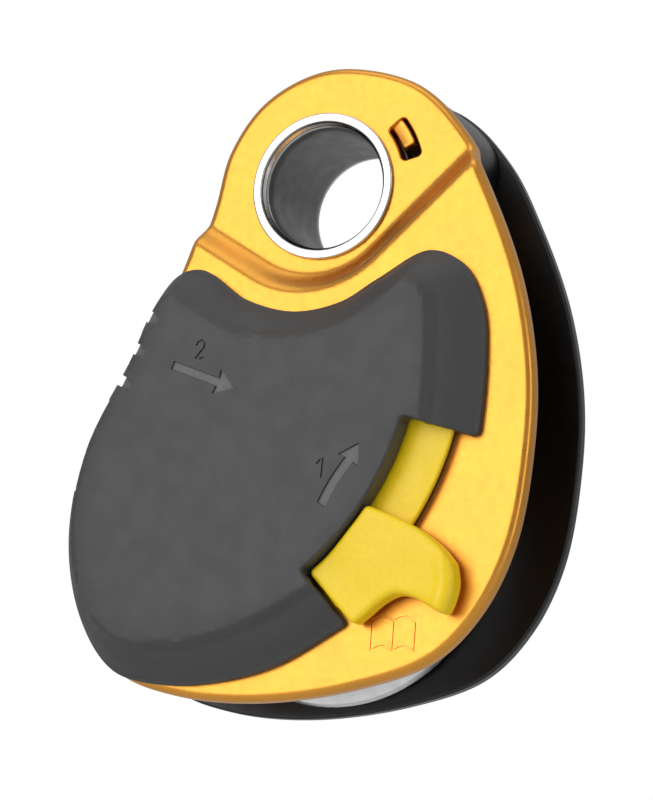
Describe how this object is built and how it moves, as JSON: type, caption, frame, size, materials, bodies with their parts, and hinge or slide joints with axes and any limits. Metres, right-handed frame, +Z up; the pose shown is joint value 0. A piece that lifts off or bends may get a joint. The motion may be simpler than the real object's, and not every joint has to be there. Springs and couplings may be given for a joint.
{
  "type": "rope pulley",
  "caption": "Rope pulley with a swinging side plate, a sliding button latch under a moulded cover, a steel carabiner eye and a ball bearing sheave.",
  "frame": {"origin": "centre of the flat rear end face of the sheave's axle", "axes": "+Y out of the axle's rear end, along the sheave axis, +Z up to the carabiner eye, -Y the side with the cover and button"},
  "size_m": [0.0719, 0.0324, 0.096],
  "materials": {
    "gold_anodised": "satin anodised",
    "black_anodised": "satin anodised",
    "black_plastic": "fine moulded texture",
    "yellow_plastic": "satin",
    "polished_steel": "polished",
    "spring_steel": "rolled",
    "bare_aluminium": "turned",
    "seal_rubber": "matte",
    "cage_brass": "machined",
    "acetal": "matte"
  },
  "bodies": {
    "root": {"rear_side_plate": "black_anodised", "head_spacer": "black_anodised", "eye_bushing": "polished_steel", "pivot_washer": "acetal", "spacer_rivet_left": "polished_steel", "spacer_rivet_right": "polished_steel", "axle": "polished_steel", "front_axle_spacer": "polished_steel", "rear_axle_spacer": "polished_steel", "bearing_inner_ring": "polished_steel"},
    "wheel": {"sheave": "bare_aluminium", "bearing_outer_ring": "polished_steel", "front_bearing_seal": "seal_rubber", "rear_bearing_seal": "seal_rubber", "bearing_circlip": "spring_steel"},
    "rolling_set": {"bearing_cage": "cage_brass", "bearing_ball_1": "polished_steel", "bearing_ball_2": "polished_steel", "bearing_ball_3": "polished_steel", "bearing_ball_4": "polished_steel", "bearing_ball_5": "polished_steel", "bearing_ball_6": "polished_steel", "bearing_ball_7": "polished_steel", "bearing_ball_8": "polished_steel"},
    "swinging_side": {"front_side_plate": "gold_anodised", "front_cover": "black_plastic", "latch_pivot_pin": "polished_steel", "latch_spring": "spring_steel", "cover_screw_1": "polished_steel", "cover_screw_2": "polished_steel", "cover_screw_3": "polished_steel", "cover_screw_4": "polished_steel"},
    "latch": {"latch_lever": "spring_steel", "latch_button": "yellow_plastic", "button_rivet_1": "polished_steel", "button_rivet_2": "polished_steel"}
  },
  "joints": [
    {"name": "side_swing", "type": "hinge", "parent": "root", "child": "swinging_side", "pos_m": [0, -0.0129, 0.0515], "axis": [0, -1, 0], "range_deg": [0, 100]},
    {"name": "button_slide", "type": "hinge", "parent": "swinging_side", "child": "latch", "pos_m": [-0.021, -0.0129, 0.024], "axis": [0, -1, 0], "range_deg": [0, 17]},
    {"name": "sheave_spin", "type": "hinge", "parent": "root", "child": "wheel", "pos_m": [0, -0.01375, 0], "axis": [0, 1, 0], "continuous": true},
    {"name": "cage_spin", "type": "hinge", "parent": "root", "child": "rolling_set", "pos_m": [0, -0.01375, 0], "axis": [0, 1, 0], "continuous": true}
  ],
  "couplings": [
    {"joint": "cage_spin", "follows": "sheave_spin", "ratio": 0.615}
  ]
}
